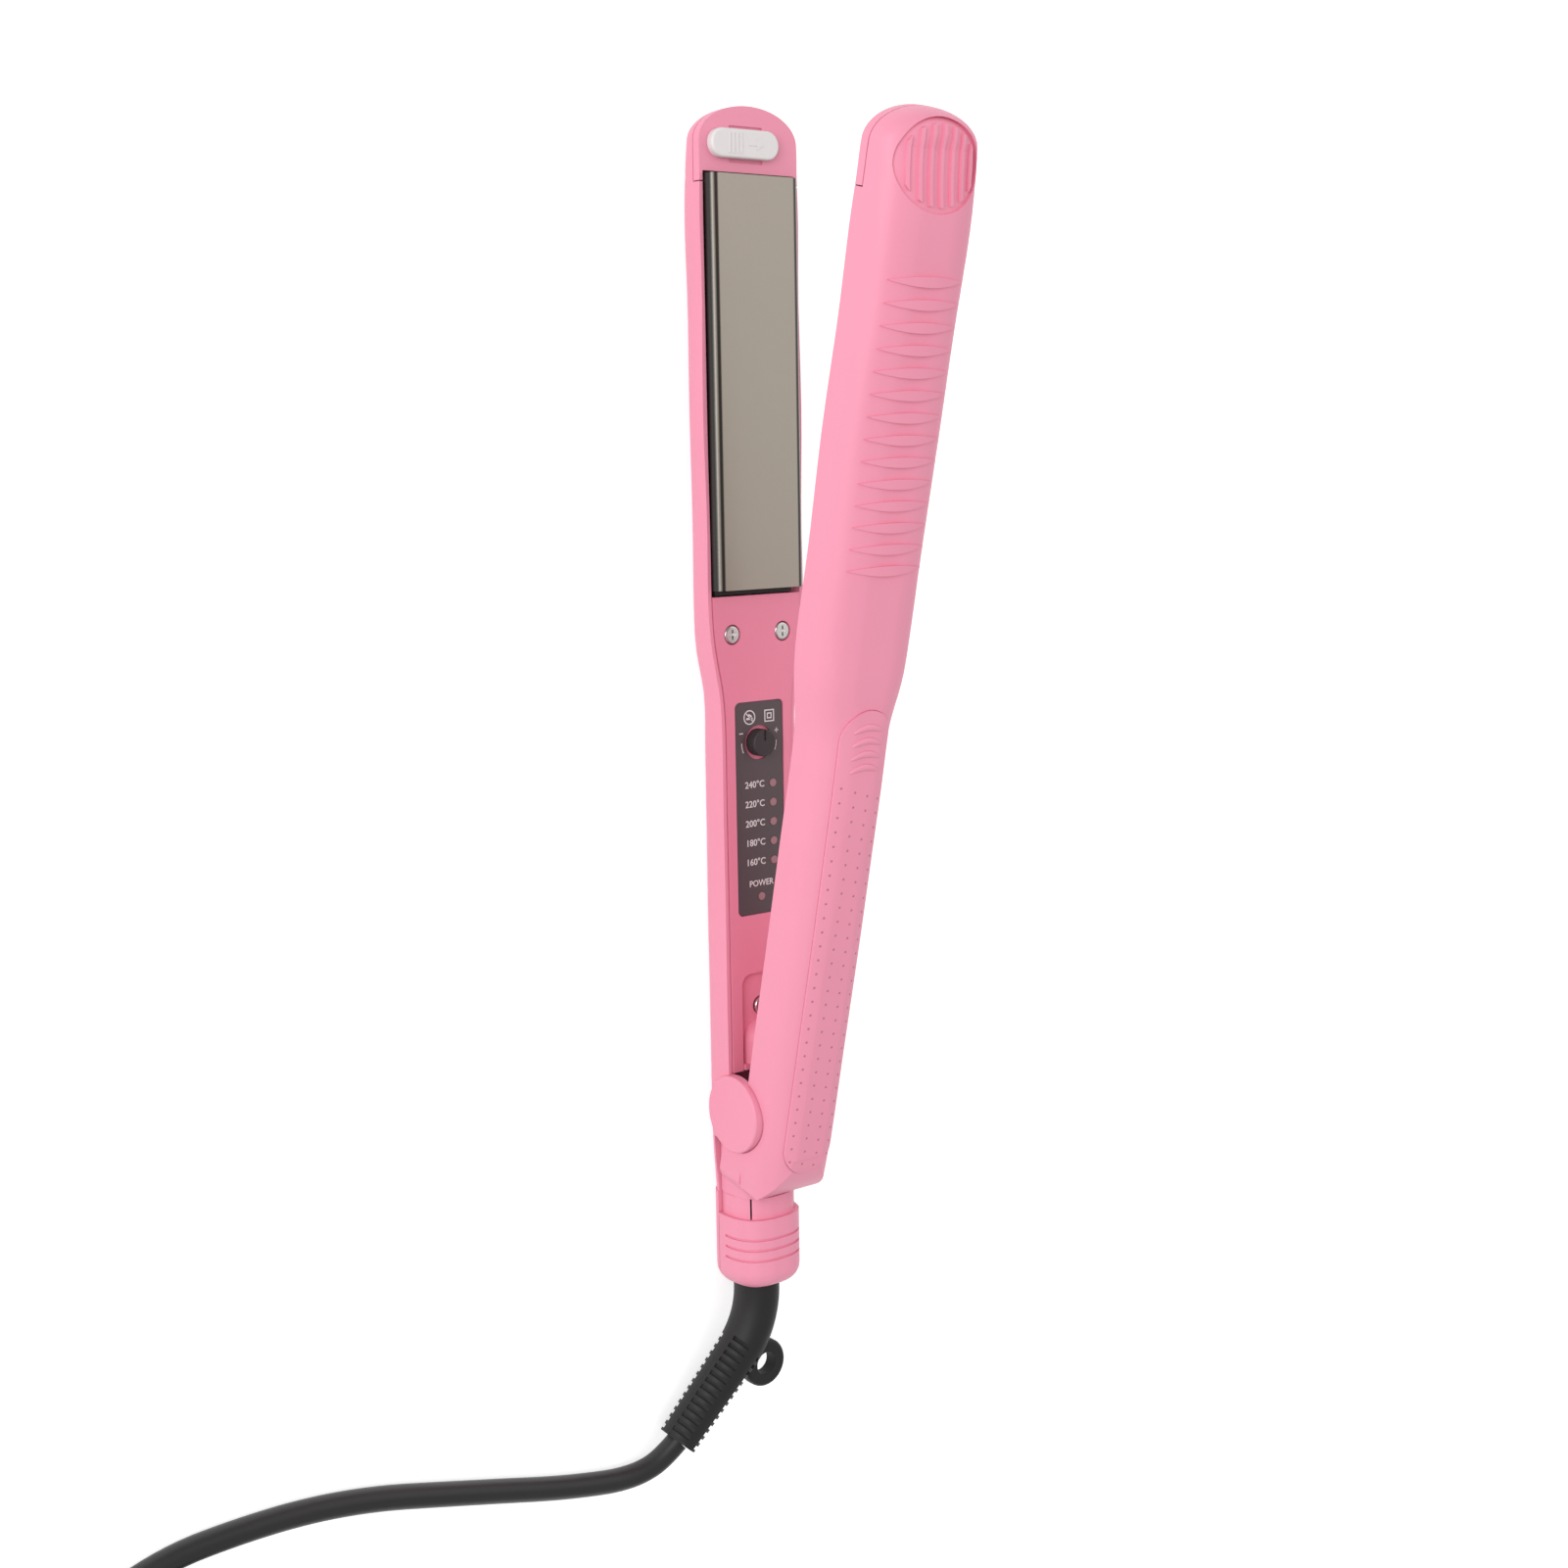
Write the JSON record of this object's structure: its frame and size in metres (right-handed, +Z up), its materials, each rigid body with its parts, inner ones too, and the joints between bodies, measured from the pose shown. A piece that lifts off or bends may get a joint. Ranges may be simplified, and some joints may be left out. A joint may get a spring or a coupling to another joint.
{
  "type": "hair straightener",
  "caption": "Two hinged arms with flat floating heated plates, a tip lock, a temperature dial, lamps, and a swivelling mains cord with a two-pin plug.",
  "frame": {"origin": "middle of the arms' length and width, on the table under the lower arm", "axes": "+X towards the arms' tips, +Y along the hinge pin, +Z up away from the table"},
  "size_m": [0.4742, 0.2214, 0.0843],
  "materials": {
    "pink_shell": "satin moulded",
    "pink_cover": "satin moulded",
    "taupe_plate": "smooth coated",
    "black_plastic": "matte",
    "label_grey": "printed film",
    "white_plastic": "satin",
    "lens_pink": "clear tinted",
    "green_board": "solder mask",
    "part_dark": "moulded",
    "steel": "plated",
    "spring_steel": "drawn wire",
    "brass": "stamped",
    "heater_white": "ceramic",
    "rubber_black": "soft moulded",
    "cord_black": "smooth sheath"
  },
  "bodies": {
    "lower_arm": {"lower_shell": "pink_shell", "lower_tip_cap": "pink_cover", "lower_plate_carrier": "black_plastic", "lower_plate_springs": "spring_steel", "lower_carrier_screws": "steel", "lower_handle_cover": "pink_cover", "lower_cover_screws": "steel", "lower_grip_panel": "pink_shell", "control_label": "label_grey", "temperature_lenses": "lens_pink", "power_lens": "lens_pink", "circuit_board": "green_board", "board_parts": "part_dark", "dial_potentiometer": "part_dark", "lead_cover": "pink_cover", "lower_leads": "black_plastic", "hinge_pin": "steel", "hinge_caps": "pink_shell", "opening_spring": "spring_steel", "rear_cover": "pink_shell", "rear_cover_screw": "steel", "swivel_bush": "black_plastic", "contact_block": "part_dark", "contact_leaves": "brass"},
    "lower_plate": {"lower_plate": "taupe_plate", "lower_heater": "heater_white", "lower_heater_clamp": "steel", "lower_sensors": "part_dark"},
    "lock": {"lock_slider": "white_plastic"},
    "dial": {"temp_dial": "black_plastic"},
    "upper_arm": {"upper_shell": "pink_shell", "upper_tip_cap": "pink_cover", "upper_plate_carrier": "black_plastic", "upper_plate_springs": "spring_steel", "upper_carrier_screws": "steel", "upper_handle_cover": "pink_cover", "upper_cover_screws": "steel", "upper_grip_panel": "pink_shell", "upper_leads": "black_plastic", "hinge_bushes": "brass"},
    "upper_plate": {"upper_plate": "taupe_plate", "upper_heater": "heater_white", "upper_heater_clamp": "steel", "upper_sensors": "part_dark"},
    "cord": {"swivel_barrel": "black_plastic", "contact_rings": "brass", "strain_relief": "rubber_black", "cord_lead": "cord_black", "cord_coil": "cord_black", "cord_tail": "cord_black", "plug_body": "rubber_black", "plug_pins": "steel"}
  },
  "joints": [
    {"name": "arm_hinge", "type": "hinge", "parent": "lower_arm", "child": "upper_arm", "pos_m": [-0.1003, 0, 0.017], "axis": [0, -1, 0], "range_deg": [-12.9, 0], "stiffness_Nm_per_rad": 1.4, "springref_deg": 12.61, "deforming": ["opening_spring"]},
    {"name": "lower_plate_float", "type": "slide", "parent": "lower_arm", "child": "lower_plate", "axis": [0, 0, -1], "range_m": [0, 0.001], "stiffness_N_per_m": 4000, "springref_m": -0.0005, "deforming": ["lower_plate_springs"]},
    {"name": "upper_plate_float", "type": "slide", "parent": "upper_arm", "child": "upper_plate", "axis": [-0.2233, 0, 0.9748], "range_m": [0, 0.001], "stiffness_N_per_m": 4000, "springref_m": -0.0005, "deforming": ["upper_plate_springs"]},
    {"name": "lock_slide", "type": "slide", "parent": "lower_arm", "child": "lock", "axis": [0, -1, 0], "range_m": [0, 0.0032]},
    {"name": "dial_turn", "type": "hinge", "parent": "lower_arm", "child": "dial", "pos_m": [-0.0064, 0, 0.016], "axis": [0, 0, -1], "range_deg": [0, 270]},
    {"name": "cord_swivel", "type": "hinge", "parent": "lower_arm", "child": "cord", "pos_m": [-0.1487, 0, 0.009], "axis": [1, 0, 0], "continuous": true}
  ]
}
